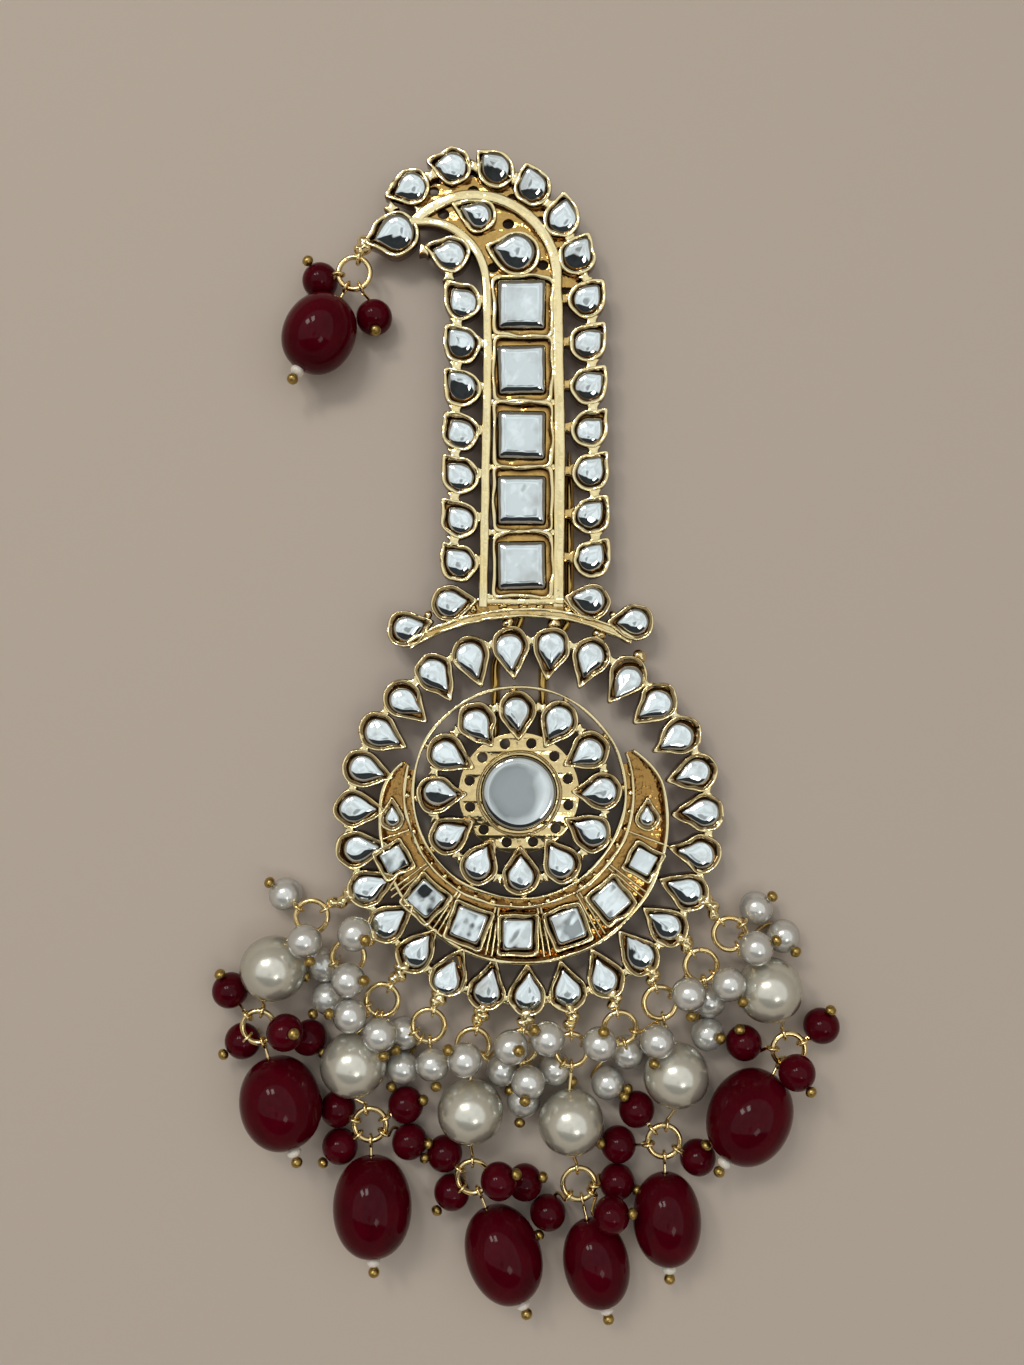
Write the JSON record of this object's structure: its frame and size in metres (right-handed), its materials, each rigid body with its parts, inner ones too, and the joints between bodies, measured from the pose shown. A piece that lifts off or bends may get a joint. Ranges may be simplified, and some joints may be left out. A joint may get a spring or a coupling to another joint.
{
  "type": "turban ornament (kalgi)",
  "caption": "Curled gold plume on a petalled medallion, set with mirror-backed stones, with hanging pearls and maroon beads and a pin behind.",
  "frame": {"origin": "on the floor plane, under the centre of the medallion's round stone, on the back pin's flat underside", "axes": "+X to the right of the face, +Y up the plume, +Z out of the jewelled face"},
  "size_m": [0.0953, 0.1739, 0.0119],
  "materials": {
    "polished_gold": "polished gold plating over a casting",
    "pin_gold": "drawn wire with gold plating",
    "mirror_glass": "clear glass over silver foil",
    "large_pearl": "ivory pearl coating",
    "small_pearl": "white pearl coating",
    "maroon_bead": "polished maroon glass"
  },
  "bodies": {
    "root": {"gold_frame": "polished_gold", "back_pin": "pin_gold", "centre_stone": "mirror_glass", "plume_square_1": "mirror_glass", "plume_square_2": "mirror_glass", "plume_square_3": "mirror_glass", "plume_square_4": "mirror_glass", "plume_square_5": "mirror_glass", "plume_pear_tip": "mirror_glass", "plume_pear_inner": "mirror_glass", "plume_pear_big": "mirror_glass", "pearl_bunch_10": "small_pearl", "pearl_bunch_11": "small_pearl", "pearl_bunch_12": "small_pearl", "pearl_bunch_13": "small_pearl", "pearl_bunch_14": "small_pearl", "pearl_bunch_15": "small_pearl", "pearl_bunch_16": "small_pearl", "pearl_bunch_17": "small_pearl", "pearl_bunch_18": "small_pearl", "pearl_bunch_19": "small_pearl", "pearl_bunch_20": "small_pearl", "pearl_drop_10": "large_pearl", "maroon_bunch_10": "maroon_bead", "maroon_drop_10": "maroon_bead", "pearl_drop_12": "large_pearl", "maroon_bunch_12": "maroon_bead", "maroon_drop_12": "maroon_bead", "pearl_drop_14": "large_pearl", "maroon_bunch_14": "maroon_bead", "maroon_drop_14": "maroon_bead", "pearl_drop_16": "large_pearl", "maroon_bunch_16": "maroon_bead", "maroon_drop_16": "maroon_bead", "pearl_drop_18": "large_pearl", "maroon_bunch_18": "maroon_bead", "maroon_drop_18": "maroon_bead", "pearl_drop_20": "large_pearl", "maroon_bunch_20": "maroon_bead", "maroon_drop_20": "maroon_bead", "tip_bunch": "maroon_bead", "tip_drop": "maroon_bead"}
  },
  "joints": []
}
